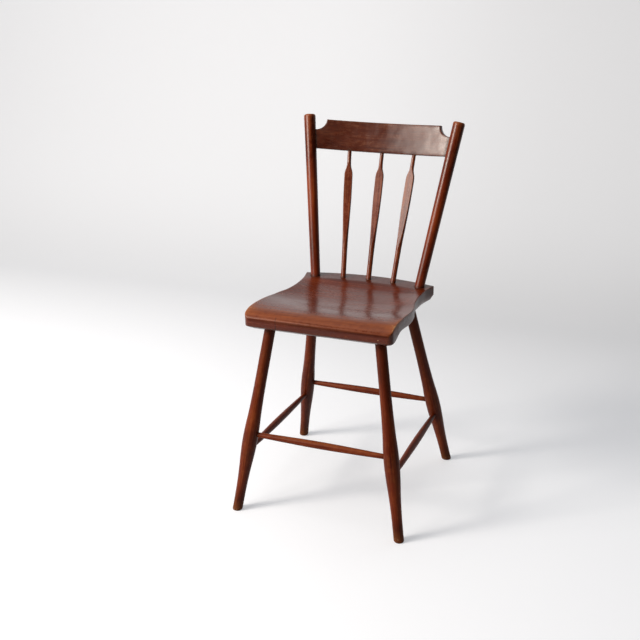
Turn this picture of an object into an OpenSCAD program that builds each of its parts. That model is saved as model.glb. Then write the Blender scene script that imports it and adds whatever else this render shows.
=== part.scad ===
// Plank-seat side chair with an arrow-spindle back.
// Millimetres, +Z up, the sitter faces -Y, origin on the floor under the middle of the chair.
//
// A shaped plank carries four swelled, splayed legs below and two leaning posts above.
// The posts hold a bowed crest rail, and three arrow spindles stand between deck and crest.
// Every round tenon is a turned end in a blind socket, so no tenon shows on a finished face.

/* [Seat] */
// Height of the flat deck at the back of the seat
seat_h = 483; // [430:1:520]
// Greatest width of the plank
seat_w = 340; // [300:2:380]
// Depth of the plank from its front edge to its rear corners
seat_d = 361; // [320:1:400]
// Thickness of the plank, deck to underside
seat_t = 33; // [30:0.5:40]
// How far the rear edge bows out behind the rear corners
rear_bow = 27.6; // [10:0.2:40]
// Depth of the flat deck that carries the posts and spindles
deck_d = 42; // [38:1:50]
// How deep the seat is dished below its side edges
dish_depth = 10; // [4:0.5:13]
// Rise of the front roll above the deck
roll_rise = 13; // [6:0.5:18]

/* [Legs] */
// Diameter of a leg at its swell
leg_swell_d = 34.8; // [28:0.2:40]
// Sideways splay of the front legs, degrees
front_splay = 8.83; // [4:0.1:11]
// Forward rake of the front legs, degrees
front_rake = 6.84; // [3:0.1:10]
// Sideways splay of the rear legs, degrees
rear_splay = 10.07; // [5:0.1:12]
// Backward rake of the rear legs, degrees
rear_rake = 15.46; // [9:0.1:18]

/* [Stretchers] */
// Height of the front stretcher
stretcher_front_h = 190.2; // [150:1:230]
// Height of the rear stretcher
stretcher_rear_h = 180.8; // [140:1:220]
// Height of the side stretchers
stretcher_side_h = 146.5; // [110:1:200]
// Diameter at the middle of a stretcher
stretcher_d = 17; // [13:0.5:20]

/* [Back] */
// Height of the post tops above the deck
back_h = 377; // [320:1:420]
// Backward lean of the posts, degrees
back_lean = 15.29; // [8:0.1:20]
// Outward splay of the posts, degrees
post_splay = 8.27; // [4:0.1:11]
// Diameter of a post at its top
post_top_d = 28.5; // [24:0.5:34]
// Diameter of a post at the deck
post_base_d = 23; // [19:0.5:28]
// Height of the crest rail board
crest_h = 71.5; // [55:0.5:85]
// Thickness of the crest rail
crest_t = 13; // [10:0.5:15]
// How far the crest bows back at its middle
crest_bow = 23.8; // [8:0.2:35]
// Greatest width of an arrow spindle
arrow_w = 20.4; // [16:0.2:26]

/* [Hidden] */

$fn = 48;
wood = [0.36, 0.14, 0.07];
glue_gap = 0.1;      // between a tenon and its socket, and under a seated shoulder
overshoot = 20;      // how far a cutting solid runs past what it cuts
LEFT = -1;
RIGHT = 1;

// ---- plan of the plank ----
half_w = seat_w / 2;
front_y = -230.2;                     // front edge, set so the chair's box is centred on the origin
corner_y = front_y + seat_d;          // the two rear corners
plank_bottom = seat_h - seat_t;
corner_r = 11;                        // rounding of the front corners in plan
roll_run = 40;                        // front-to-back length of the rolled front
crease_drop = 5;                      // the roll ends in a crease this far under the deck level
lip_back = 2.5;                       // how far the front face leans back at its bottom
rim_in = 7;                           // underside bevel, inwards, at the rear edge
front_rim_in = 22;                    // the same behind the front face

bow_start = 0.62;                     // the rows start to bow here, as a share of the depth
deck_share = 1 - deck_d / seat_d;     // front of the deck, along the side edge

rear_half_share = 0.962;              // half width at the rear corners, as a share of half_w
// half width of the plank from front to back: [share of the depth, share of the half width]
plan_keys = [[0, 0.995], [0.2, 1.0], [0.4, 0.992], [0.52, 0.965], [0.61, 0.918], [0.72, 0.895],
             [0.81, 0.899], [0.89, 0.913], [1, rear_half_share]];
edge_flat = 0.64;                     // the side edges are level from here back
// side edge height above the deck, as a share of the roll's rise
edge_keys = [[0, 1], [0.11, 1], [0.17, 0.98], [0.3, 0.72], [0.45, 0.22], [0.56, 0.03],
             [edge_flat, 0], [1, 0]];
// depth of the dish at the middle, as a share of the full dish
dish_keys = [[0, 0], [0.11, 0.3], [0.22, 0.5], [0.4, 0.95], [0.55, 1], [0.7, 0.93],
             [deck_share - 0.09, 0.72], [deck_share - 0.045, 0.36], [deck_share, 0], [1, 0]];
dish_power = 3;                       // how flat the dish is across before it rises to the sides
// underside bevel along the sides, mm inwards; it widens to a cove behind the rolled front
cove_keys = [[0, 8], [0.06, 10], [0.17, 22], [0.28, 19], [0.42, 9], [0.55, rim_in], [1, rim_in]];
// bottom of the plank's side face below the deck level, mm
rim_keys = [[0, 23], [0.06, 22.5], [0.17, 13], [0.27, 15.5], [0.42, 22], [0.6, 22], [1, 21.5]];

// ---- smooth curve through [position, value] keys ----
function key_span(keys, t, i = 0) =
    i >= len(keys) - 2 || t < keys[i + 1][0] ? i : key_span(keys, t, i + 1);
function key_slope(keys, i) =
    let (a = max(i - 1, 0))
    let (b = min(i + 1, len(keys) - 1))
    (keys[b][1] - keys[a][1]) / (keys[b][0] - keys[a][0]);
function curve(keys, t) =
    let (i = key_span(keys, t))
    let (p = keys[i])
    let (q = keys[i + 1])
    let (run = q[0] - p[0])
    let (s = (t - p[0]) / run)
    let (m = key_slope(keys, i) * run)
    let (n = key_slope(keys, i + 1) * run)
    (2 * s^3 - 3 * s^2 + 1) * p[1] + (s^3 - 2 * s^2 + s) * m + (3 * s^2 - 2 * s^3) * q[1] + (s^3 - s^2) * n;

// ---- the plank as a grid: rows run across it, columns from front to back ----
roll_rows = 8;
body_rows = 24;
columns = 20;
// row positions: close together around the roll, even behind it
row_y = concat(
    [for (k = [0 : roll_rows - 1]) front_y + roll_run * (1 - sin(90 * (1 - k / roll_rows)))],
    [for (k = [0 : body_rows]) front_y + roll_run + (seat_d - roll_run) * k / body_rows]);
rows = len(row_y);
function share(y) = (y - front_y) / seat_d;
function corner_cut(y) = corner_r - sqrt(max(0, corner_r^2 - max(0, corner_r - (y - front_y))^2));
function half_at(y) = half_w * curve(plan_keys, share(y)) - corner_cut(y);
function bow_at(y) = rear_bow * max(0, share(y) - bow_start) / (1 - bow_start);
function roll_z(y) =
    let (run = (front_y + roll_run - y) / roll_run)
    run <= 0 ? 0 : (roll_rise + crease_drop) * (1 - sqrt(max(0, 1 - run^2)));
// the deck stays truly flat, so nothing standing on it cuts into the plank
function edge_at(y) = share(y) >= edge_flat ? 0 : roll_rise * max(0, curve(edge_keys, share(y)));
function dish_at(y) = share(y) >= deck_share ? 0 : dish_depth * max(0, curve(dish_keys, share(y)));
function top_z(u, y) = seat_h + edge_at(y) - roll_z(y) - dish_at(y) * (1 - abs(u)^dish_power);
function top_point(i, j) =
    let (u = 2 * j / columns - 1)
    let (y = row_y[i])
    [u * half_at(y), y + bow_at(y) * (1 - u^2), top_z(u, y)];
// lower edge of the side face
function rim_point(i, j) =
    let (p = top_point(i, j))
    let (lean = max(0, 1 - (row_y[i] - front_y) / front_rim_in))
    [p[0], p[1] + lip_back * lean, seat_h - curve(rim_keys, share(row_y[i]))];
// edge of the flat underside
function base_point(i, j) =
    let (p = top_point(i, j))
    let (v = share(row_y[i]))
    [p[0] * (1 - curve(cove_keys, v) / half_w), p[1] + front_rim_in * (1 - v) - rim_in * v, plank_bottom];
// grid indices once around the outline, seen from above anticlockwise
outline = concat(
    [for (j = [0 : columns - 1]) [0, j]],
    [for (i = [0 : rows - 2]) [i, columns]],
    [for (j = [columns : -1 : 1]) [rows - 1, j]],
    [for (i = [rows - 1 : -1 : 1]) [i, 0]]);
around = len(outline);
grid_count = rows * (columns + 1);
function grid_at(i, j) = i * (columns + 1) + j;
function top_at(k) = grid_at(outline[k % around][0], outline[k % around][1]);
function rim_at(k) = grid_count + k % around;
function base_at(k) = grid_count + around + k % around;
base_middle = grid_count + 2 * around;

module plank_blank() {
    points = concat(
        [for (i = [0 : rows - 1]) for (j = [0 : columns]) top_point(i, j)],
        [for (o = outline) rim_point(o[0], o[1])],
        [for (o = outline) base_point(o[0], o[1])],
        [[0, 0, plank_bottom]]);
    top_faces = [for (i = [0 : rows - 2]) for (j = [0 : columns - 1]) for (half = [0, 1])
        half == 0 ? [grid_at(i, j), grid_at(i + 1, j + 1), grid_at(i, j + 1)]
                  : [grid_at(i, j), grid_at(i + 1, j), grid_at(i + 1, j + 1)]];
    side_faces = [for (k = [0 : around - 1]) for (half = [0, 1])
        half == 0 ? [top_at(k), top_at(k + 1), rim_at(k + 1)]
                  : [top_at(k), rim_at(k + 1), rim_at(k)]];
    bevel_faces = [for (k = [0 : around - 1]) for (half = [0, 1])
        half == 0 ? [rim_at(k), rim_at(k + 1), base_at(k + 1)]
                  : [rim_at(k), base_at(k + 1), base_at(k)]];
    underside = [for (k = [0 : around - 1]) [base_at(k), base_at(k + 1), base_middle]];
    polyhedron(points, concat(top_faces, side_faces, bevel_faces, underside));
}

// ---- axes ----
leg_inset = 5;                        // leg positions are named this far under the plank
leg_top_z = plank_bottom - leg_inset;
front_leg_in = 41.7;                  // in from the plank's side
front_leg_back = 53.3;                // behind the plank's front edge
rear_leg_in = 50.1;
rear_leg_ahead = 59.8;                // ahead of the rear corners
front_leg_x = half_w - front_leg_in;
front_leg_y = front_y + front_leg_back;
rear_leg_x = half_w - rear_leg_in;
rear_leg_y = corner_y - rear_leg_ahead;
function leg_top(side, rear) = [side * (rear ? rear_leg_x : front_leg_x), rear ? rear_leg_y : front_leg_y,
                                leg_top_z];
function leg_axis(side, rear, z) =
    let (drop = leg_top_z - z)
    let (out = tan(rear ? rear_splay : front_splay))
    let (rake = rear ? tan(rear_rake) : -tan(front_rake))
    leg_top(side, rear) + drop * [side * out, rake, -1];

post_in = 31.2;                       // in from the rear corner
post_ahead = 18.8;                    // ahead of the rear corner
post_x = half_w * rear_half_share - post_in;
post_y = corner_y - post_ahead;
post_base_r = post_base_d / 2;
post_len = back_h / cos(back_lean);   // in the leaning plane of the back
function post_axis(side, rise) =
    [side * (post_x + rise * tan(post_splay)), post_y + rise * tan(back_lean), seat_h + rise];
crest_r = let (c = post_x + (back_h - crest_h / 2) * tan(post_splay)) (c^2 + crest_bow^2) / (2 * crest_bow);

crest_top_drop = 9.3;                 // crest edge below the post tops, along the lean
crest_z1 = post_len - crest_top_drop; // heights measured in the leaning plane
crest_z0 = crest_z1 - crest_h;
function crest_y(x) = crest_bow - crest_r + sqrt(crest_r^2 - x^2);
function from_back(p) = [p[0], post_y + p[1] * cos(back_lean) + p[2] * sin(back_lean),
                         seat_h + p[2] * cos(back_lean) - p[1] * sin(back_lean)];

spindle_x = 63.6;                     // the outer spindles at the deck
spindle_fan = 17.7;                   // how far they spread on the way up
spindle_back = 15.1;                  // the middle spindle's foot is this far behind the posts
spindle_set = 4.2;                    // and this far behind the outer spindles
function spindle_base(k) = [k * spindle_x, post_y + spindle_back - spindle_set * abs(k), seat_h];
function spindle_head(k) =
    let (x = k * (spindle_x + spindle_fan))
    from_back([x, crest_y(x), crest_z0]);

// ---- helpers ----
// stand children, built up +Z, on the line from a to b
module along(a, b) {
    d = b - a;
    translate(a)
        rotate([0, acos(d[2] / norm(d)), atan2(d[1], d[0])])
            children();
}
// the same, keeping the front of the child towards the front of the chair
module upright(a, b) {
    d = b - a;
    translate(a)
        rotate([-atan2(d[1], d[2]), 0, 0])
            rotate([0, asin(d[0] / norm(d)), 0])
                children();
}
// turned solid of given length: radius keys along the share of its length
module turned(length, radius, keys, from, to, steps) {
    marks = [for (k = [0 : steps]) from + (to - from) * k / steps];
    rotate_extrude()
        polygon(concat([[0, to * length], [0, from * length]],
                       [for (t = marks) [radius * curve(keys, t), t * length]]));
}
// round peg on the line from a to b: it reaches this far behind a and ahead of a
module peg(a, b, behind, ahead, r) {
    along(a, b)
        translate([0, 0, -behind])
            cylinder(h = behind + ahead, r = r);
}
module back_frame() {
    translate([0, post_y, seat_h])
        rotate([-back_lean, 0, 0])
            children();
}
module slab(z0, z1) {
    translate([-seat_w, -seat_w, z0])
        cube([2 * seat_w, 2 * seat_w + rear_bow, z1 - z0]);
}

// ---- legs ----
// [share of the height, share of the swell radius]
leg_keys = [[-0.1, 0.66], [0, 0.66], [0.1, 0.668], [0.18, 0.72], [0.25, 0.815], [0.32, 0.935],
            [0.4, 1.0], [0.46, 0.965], [0.53, 0.865], [0.6, 0.80], [0.7, 0.75], [0.85, 0.73], [1.1, 0.70]];
rear_swell_drop = 0.02;               // the rear legs swell a little lower
rear_leg_keys = [for (k = leg_keys) [k[0] > 0 && k[0] < 1 ? k[0] - rear_swell_drop : k[0], k[1]]];
leg_tenon_r = 9.5;
leg_tenon_len = 16;
leg_steps = 34;
leg_from = -0.04;                     // the turned blank is longer than the leg, then cut level
leg_to = 1.06;
module leg_tenon(side, rear, grow) {
    peg(leg_axis(side, rear, plank_bottom), leg_axis(side, rear, 0), leg_tenon_len + grow,
        overshoot / 2, leg_tenon_r + grow);
}
module leg(side, rear) {
    foot = leg_axis(side, rear, 0);
    head = leg_axis(side, rear, leg_top_z);
    color(wood) {
        difference() {
            union() {
                intersection() {
                    upright(foot, head)
                        turned(norm(head - foot), leg_swell_d / 2, rear ? rear_leg_keys : leg_keys,
                               leg_from, leg_to, leg_steps);
                    slab(0, plank_bottom - glue_gap);
                }
                intersection() {
                    leg_tenon(side, rear, 0);
                    slab(plank_bottom - overshoot / 4, seat_h);
                }
            }
            stretcher_end(side, rear, side_ends(side), glue_gap);
            stretcher_end(side, rear, rear ? rear_ends() : front_ends(), glue_gap);
        }
    }
}

// ---- stretchers ----
stretcher_tenon_r = 5.6;
side_drop = 3.5;                      // the side stretchers fall this much either way, front to back
stretcher_keys = [[0, 0.69], [0.08, 0.72], [0.25, 0.86], [0.5, 1.0], [0.75, 0.86], [0.92, 0.72], [1, 0.69]];
stretcher_steps = 20;
function side_ends(side) = [leg_axis(side, false, stretcher_side_h + side_drop),
                            leg_axis(side, true, stretcher_side_h - side_drop)];
function cross_ends(rear, z) = [leg_axis(LEFT, rear, z), leg_axis(RIGHT, rear, z)];
function front_ends() = cross_ends(false, stretcher_front_h);
function rear_ends() = cross_ends(true, stretcher_rear_h);
socket_past_axis = 2;                 // how far a stretcher end passes the leg's own axis
// the part of a stretcher's tenon that lies in one leg
module stretcher_end(side, rear, ends, grow) {
    here = leg_axis(side, rear, 0);
    near = norm([ends[0][0] - here[0], ends[0][1] - here[1]]);
    far = norm([ends[1][0] - here[0], ends[1][1] - here[1]]);
    a = near < far ? ends[0] : ends[1];
    b = near < far ? ends[1] : ends[0];
    peg(a, b, socket_past_axis + grow, leg_swell_d, stretcher_tenon_r + grow);
}
module stretcher(ends) {
    length = norm(ends[1] - ends[0]);
    // the shaped part stops clear of the leg, whose skin slopes across the stretcher
    skin = leg_swell_d / 2 / cos(rear_rake) + stretcher_tenon_r * tan(rear_rake) + 3 * glue_gap;
    color(wood) {
        peg(ends[0], ends[1], socket_past_axis, length + socket_past_axis, stretcher_tenon_r);
        along(ends[0], ends[1])
            turned(length, stretcher_d / 2, stretcher_keys, skin / length, 1 - skin / length,
                   stretcher_steps);
    }
}

// ---- back posts ----
post_tenon_r = 8;
post_tenon_len = 20;
post_end_r = 4.5;                     // rounding of the post's top edge
post_end_steps = 6;
module post_tenon(side, grow) {
    peg(post_axis(side, 0), post_axis(side, back_h), post_tenon_len + grow, overshoot / 2,
        post_tenon_r + grow);
}
module post_shaft(side) {
    a = post_axis(side, 0);
    b = post_axis(side, back_h);
    length = norm(b - a);
    top_r = post_top_d / 2;
    along(a, b)
        rotate_extrude()
            polygon(concat([[0, length], [0, -overshoot / 2], [post_base_r, -overshoot / 2]],
                           [for (k = [0 : post_end_steps])
                               [top_r - post_end_r * (1 - cos(90 * k / post_end_steps)),
                                length - post_end_r * (1 - sin(90 * k / post_end_steps))]]));
}
module back_post(side) {
    color(wood) {
        difference() {
            union() {
                difference() {
                    post_shaft(side);
                    slab(seat_h - 2 * overshoot, seat_h + glue_gap);
                }
                intersection() {
                    post_tenon(side, 0);
                    slab(seat_h - 2 * overshoot, seat_h + overshoot / 4);
                }
            }
            crest_board(glue_gap);
        }
    }
}

// ---- crest rail ----
scoop_r = 25.5;                       // quarter-round scoop beside each post
scoop_lap = 0.5;                      // the scoop is centred this far inside the post's face
crest_past_axis = 3;                  // how far the board runs past the axis of each post
post_slope = tan(post_splay) * cos(back_lean);
function post_x_at(z) = post_x + z * post_slope;
module crest_outline(grow) {
    z0 = crest_z0 - grow;
    z1 = crest_z1 + grow;
    past = crest_past_axis + grow;
    scoop_x = post_x_at(crest_z1 - scoop_r) - post_top_d / 2 + scoop_lap;
    difference() {
        polygon([[-post_x_at(z0) - past, z0], [post_x_at(z0) + past, z0],
                 [post_x_at(z1) + past, z1], [-post_x_at(z1) - past, z1]]);
        for (side = [LEFT, RIGHT]) {
            translate([side * scoop_x, crest_z1])
                circle(r = scoop_r - grow);
            translate([side * (scoop_x + overshoot) - overshoot, crest_z1 - scoop_r + grow])
                square([2 * overshoot, scoop_r + overshoot]);
        }
    }
}
module crest_board(grow) {
    tall = crest_h + 2 * overshoot;
    back_frame()
        intersection() {
            translate([0, seat_w / 2, 0])
                rotate([90, 0, 0])
                    linear_extrude(seat_w)
                        crest_outline(grow);
            translate([0, crest_bow - crest_r, crest_z0 - overshoot])
                difference() {
                    cylinder(h = tall, r = crest_r + crest_t / 2 + grow);
                    translate([0, 0, -overshoot])
                        cylinder(h = tall + 2 * overshoot, r = crest_r - crest_t / 2 - grow);
                }
        }
}
module crest_rail() {
    color(wood) {
        difference() {
            crest_board(0);
            for (k = [-1 : 1]) {
                spindle_tenons(k, glue_gap);
            }
        }
    }
}

// ---- arrow spindles ----
// [share of the length, share of the arrow's half width]
spindle_keys = [[-0.1, 0.60], [0, 0.61], [0.2, 0.62], [0.32, 0.68], [0.45, 0.82], [0.6, 0.965],
                [0.7, 1.0], [0.8, 1.0], [0.825, 0.94], [0.86, 0.66], [0.895, 0.49], [0.95, 0.465],
                [1.1, 0.465]];
// half thickness of the flattened part, mm; the ends stay round
flat_keys = [[-0.1, 9], [0.15, 8], [0.3, 6.4], [0.45, 5.2], [0.6, 4.5], [0.75, 4.1], [0.85, 4.2],
             [0.93, 5.6], [1.1, 8]];
spindle_steps = 40;
spindle_foot_r = 4.6;
spindle_head_r = 3.4;
spindle_tenon_len = 15;
spindle_past = 0.03;                  // the shaped blank runs past both ends, as a share of its length
module spindle_tenons(k, grow) {
    a = spindle_base(k);
    b = spindle_head(k);
    length = norm(b - a);
    upright(a, b) {
        translate([0, 0, -spindle_tenon_len - grow])
            cylinder(h = spindle_tenon_len + grow + overshoot / 2, r = spindle_foot_r + grow);
        translate([0, 0, length - overshoot / 2])
            cylinder(h = overshoot / 2 + spindle_tenon_len + grow, r = spindle_head_r + grow);
    }
}
module arrow_spindle(k) {
    a = spindle_base(k);
    b = spindle_head(k);
    length = norm(b - a);
    marks = [for (m = [0 : spindle_steps]) (1 + 2 * spindle_past) * m / spindle_steps - spindle_past];
    yaw = -asin(b[0] / crest_r);
    color(wood) {
        intersection() {
            upright(a, b)
                rotate([0, 0, yaw])
                    intersection() {
                        turned(length, arrow_w / 2, spindle_keys, -spindle_past, 1 + spindle_past,
                               spindle_steps);
                        rotate([90, 0, 90])
                            translate([0, 0, -arrow_w])
                                linear_extrude(2 * arrow_w)
                                    polygon(concat(
                                        [for (t = marks) [curve(flat_keys, t), t * length]],
                                        [for (m = [spindle_steps : -1 : 0])
                                            [-curve(flat_keys, marks[m]), marks[m] * length]]));
                    }
            slab(seat_h + glue_gap, seat_h + back_h);
            back_frame()
                slab(-overshoot, crest_z0 - glue_gap);
        }
        spindle_tenons(k, 0);
    }
}

// ---- seat ----
module seat_plank() {
    color(wood) {
        difference() {
            plank_blank();
            for (side = [LEFT, RIGHT]) {
                leg_tenon(side, false, glue_gap);
                leg_tenon(side, true, glue_gap);
                post_tenon(side, glue_gap);
            }
            for (k = [-1 : 1]) {
                spindle_tenons(k, glue_gap);
            }
        }
    }
}
module leg_front_left() { leg(LEFT, false); }
module leg_front_right() { leg(RIGHT, false); }
module leg_rear_left() { leg(LEFT, true); }
module leg_rear_right() { leg(RIGHT, true); }
module stretcher_front() { stretcher(front_ends()); }
module stretcher_rear() { stretcher(rear_ends()); }
module stretcher_left() { stretcher(side_ends(LEFT)); }
module stretcher_right() { stretcher(side_ends(RIGHT)); }
module back_post_left() { back_post(LEFT); }
module back_post_right() { back_post(RIGHT); }
module arrow_spindle_left() { arrow_spindle(-1); }
module arrow_spindle_middle() { arrow_spindle(0); }
module arrow_spindle_right() { arrow_spindle(1); }

seat_plank();
leg_front_left();
leg_front_right();
leg_rear_left();
leg_rear_right();
stretcher_front();
stretcher_rear();
stretcher_left();
stretcher_right();
back_post_left();
back_post_right();
crest_rail();
arrow_spindle_left();
arrow_spindle_middle();
arrow_spindle_right();
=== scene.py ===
# %% [markdown]
# # An old plank-seat chair with arrow spindles
#
# The real chair is a shaped plank on four turned legs. Two turned posts lean back from the
# plank, a bowed board joins them at the top, and three flattened spindles stand in between.
# Everything is stained dark red-brown and varnished, then rubbed by a century of hands.
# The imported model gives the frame: each piece made here sits exactly where its solid does,
# takes the solid's place, and rides on the one body that the glued chair is.

# %% Load the frame
import math
from contextlib import contextmanager

import bmesh
import bpy
import numpy as np
from mathutils import Matrix, Vector


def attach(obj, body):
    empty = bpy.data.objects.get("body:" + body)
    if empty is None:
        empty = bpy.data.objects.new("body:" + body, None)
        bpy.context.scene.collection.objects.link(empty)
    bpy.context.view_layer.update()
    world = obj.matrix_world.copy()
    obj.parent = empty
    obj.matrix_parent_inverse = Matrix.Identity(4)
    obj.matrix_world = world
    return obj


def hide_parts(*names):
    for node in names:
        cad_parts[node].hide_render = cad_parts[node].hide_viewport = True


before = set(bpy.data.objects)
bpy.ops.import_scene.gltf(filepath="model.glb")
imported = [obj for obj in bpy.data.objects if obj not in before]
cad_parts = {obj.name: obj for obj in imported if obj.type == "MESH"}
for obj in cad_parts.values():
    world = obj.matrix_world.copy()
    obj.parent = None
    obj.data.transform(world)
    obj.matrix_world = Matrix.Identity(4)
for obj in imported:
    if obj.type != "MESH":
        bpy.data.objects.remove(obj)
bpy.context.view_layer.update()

# %% [markdown]
# ## Camera, stage and lamps
# A studio sweep is one sheet that is floor in front and wall behind, joined by a wide curve,
# so no edge shows. Two soft lamps stand to the left and in front, as a window would. The small
# one casts the shadows, and the wide one draws the long bright line down every turned piece. A
# third hangs overhead, and the room's own light fills the shadows gently.
#
# White paper would throw so much light back that dark wood turns grey. So the paper is mid grey
# to the light that it bounces, and looks pale only to the camera and in the varnish. The Light
# Path node tells the two apart.

# %% Camera
LENS_MM, SENSOR_MM = 55.9, 36.0
CAMERA_PLACE = (0.717, -2.0796, 1.199)
CAMERA_AZIMUTH = 20.92
CAMERA_PITCH = 19.52

camera = bpy.data.objects.new("camera", bpy.data.cameras.new("camera"))
camera.data.lens = LENS_MM
camera.data.sensor_width = SENSOR_MM
camera.location = CAMERA_PLACE
camera.rotation_euler = (math.radians(90 - CAMERA_PITCH), 0, math.radians(CAMERA_AZIMUTH))
bpy.context.scene.collection.objects.link(camera)
bpy.context.scene.camera = camera
bpy.context.scene.view_settings.view_transform = "Standard"
print("camera", camera.location, "lens", LENS_MM)


# %% Colours are written as sRGB hex and turned to linear once
def linear(hex_colour):
    """(r, g, b, 1) in linear light for an sRGB colour such as '6e2f17'."""
    parts = [int(hex_colour[k:k + 2], 16) / 255 for k in (0, 2, 4)]
    parts = [c / 12.92 if c <= 0.04045 else ((c + 0.055) / 1.055) ** 2.4 for c in parts]
    return (*parts, 1.0)


# %% One helper adds a node, its settings and its links
def add(tree, kind, links=None, **settings):
    """A new node. links maps an input to a value, a node (its first output) or an output."""
    made = tree.nodes.new(kind)
    for key, value in settings.items():
        setattr(made, key, value)
    known = {socket.identifier: socket for socket in made.inputs}
    for socket, source in (links or {}).items():
        target = known[socket] if socket in known else made.inputs[socket]
        if isinstance(source, bpy.types.Node):
            source = next(o for o in source.outputs if o.enabled)
        if isinstance(source, bpy.types.NodeSocket):
            tree.links.new(source, target)
        else:
            target.default_value = source
    return made


# %% Studio sweep
SWEEP_FRONT = -1.0
SWEEP_WALL = 2.35
SWEEP_CURVE = 1.1
SWEEP_LEFT, SWEEP_RIGHT = -3.4, 1.5
SWEEP_TOP = 1.5
CURVE_POINTS = 24

arc = [(SWEEP_WALL - SWEEP_CURVE + SWEEP_CURVE * math.sin(a), SWEEP_CURVE * (1 - math.cos(a)))
       for a in np.linspace(0, math.pi / 2, CURVE_POINTS)]
section = [(SWEEP_FRONT, 0.0)] + arc + [(SWEEP_WALL, SWEEP_TOP)]
corners = [(x, y, z) for y, z in section for x in (SWEEP_LEFT, SWEEP_RIGHT)]
strips = [(2 * k, 2 * k + 1, 2 * k + 3, 2 * k + 2) for k in range(len(section) - 1)]
sweep_mesh = bpy.data.meshes.new("studio_sweep")
sweep_mesh.from_pydata(corners, [], strips)
sweep_mesh.shade_smooth()
sweep = bpy.data.objects.new("studio_sweep", sweep_mesh)
bpy.context.scene.collection.objects.link(sweep)
print("sweep strips", len(strips))

# %% Matt studio paper
BOUNCE_GREY, SEEN_GREY, GLOW_TINT = "9c9ea2", "d0d3d8", "f3f4f7"
WALL_GLOW, FLOOR_GLOW, HIGH_GLOW, WINDOW_GLOW = 0.235, 0.13, 0.05, 0.09   # these light nothing
FLOOR_ENDS, HIGH_STARTS, WINDOW_ENDS = (0.2, 1.5), (1.45, 2.05), (-1.0, 0.2)   # metres

paper = bpy.data.materials.new("matt_studio_paper")
paper.use_nodes = True
sheet = paper.node_tree
sheet.nodes.clear()
path = add(sheet, "ShaderNodeLightPath").outputs
seen = add(sheet, "ShaderNodeMath", {0: path["Is Camera Ray"], 1: path["Is Glossy Ray"]},
           operation="ADD")
seen = add(sheet, "ShaderNodeMath", {0: seen, 1: path["Is Transmission Ray"]}, operation="ADD",
           use_clamp=True)
tone = add(sheet, "ShaderNodeMix", {"Factor_Float": seen, "A_Color": linear(BOUNCE_GREY),
                                    "B_Color": linear(SEEN_GREY)}, data_type="RGBA")
matt = add(sheet, "ShaderNodeBsdfDiffuse", {"Color": tone})
spot = add(sheet, "ShaderNodeSeparateXYZ",
           {"Vector": add(sheet, "ShaderNodeTexCoord").outputs["Object"]})
on_floor = add(sheet, "ShaderNodeMapRange",
               {"Value": spot.outputs["Y"], "From Min": FLOOR_ENDS[0], "From Max": FLOOR_ENDS[1],
                "To Min": FLOOR_GLOW, "To Max": 0.0}, interpolation_type="SMOOTHSTEP")
by_window = add(sheet, "ShaderNodeMapRange",
                {"Value": spot.outputs["X"], "From Min": WINDOW_ENDS[0], "From Max": WINDOW_ENDS[1],
                 "To Min": WINDOW_GLOW, "To Max": 0.0}, interpolation_type="SMOOTHSTEP")
high_up = add(sheet, "ShaderNodeMapRange",
              {"Value": spot.outputs["Y"], "From Min": HIGH_STARTS[0], "From Max": HIGH_STARTS[1],
               "To Min": 0.0, "To Max": HIGH_GLOW}, interpolation_type="SMOOTHSTEP")
total = add(sheet, "ShaderNodeMath", {0: on_floor, 1: high_up}, operation="ADD")
total = add(sheet, "ShaderNodeMath", {0: total, 1: WALL_GLOW}, operation="ADD")
total = add(sheet, "ShaderNodeMath", {0: total, 1: by_window}, operation="ADD")
total = add(sheet, "ShaderNodeMath", {0: seen, 1: total}, operation="MULTIPLY")
glow = add(sheet, "ShaderNodeEmission", {"Color": linear(GLOW_TINT), "Strength": total})
both = add(sheet, "ShaderNodeAddShader", {0: matt, 1: glow})
add(sheet, "ShaderNodeOutputMaterial", {"Surface": both})
sweep_mesh.materials.append(paper)
print(paper.name, len(sheet.nodes), "nodes")

# %% Lamps
LAMPS = {                           # place, size in metres, watts, colour
    "key_lamp": ((-2.3, -2.0, 2.0), (0.7, 0.7), 76.0, "fff6ea"),
    "window_lamp": ((-2.43, -2.48, 1.9), (2.4, 1.8), 109.0, "fff7ee"),
    "ceiling_fill": ((-0.3, -0.4, 3.2), (2.4, 2.4), 24.0, "fffcf8"),
}
AIM = Vector((0.0, 0.0, 0.5))


def soft_lamp(name, place, size, watts, colour):
    """A rectangular lamp that faces the chair."""
    lamp = bpy.data.lights.new(name, "AREA")
    lamp.shape = "RECTANGLE"
    lamp.size, lamp.size_y = size
    lamp.energy = watts
    lamp.color = linear(colour)[:3]
    holder = bpy.data.objects.new(name, lamp)
    holder.location = place
    holder.rotation_euler = (AIM - Vector(place)).to_track_quat("-Z", "Y").to_euler()
    bpy.context.scene.collection.objects.link(holder)
    print(name, "at", [round(v, 2) for v in place], watts, "W")


for lamp_name, (place, size, watts, colour) in LAMPS.items():
    soft_lamp(lamp_name, place, size, watts, colour)

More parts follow.
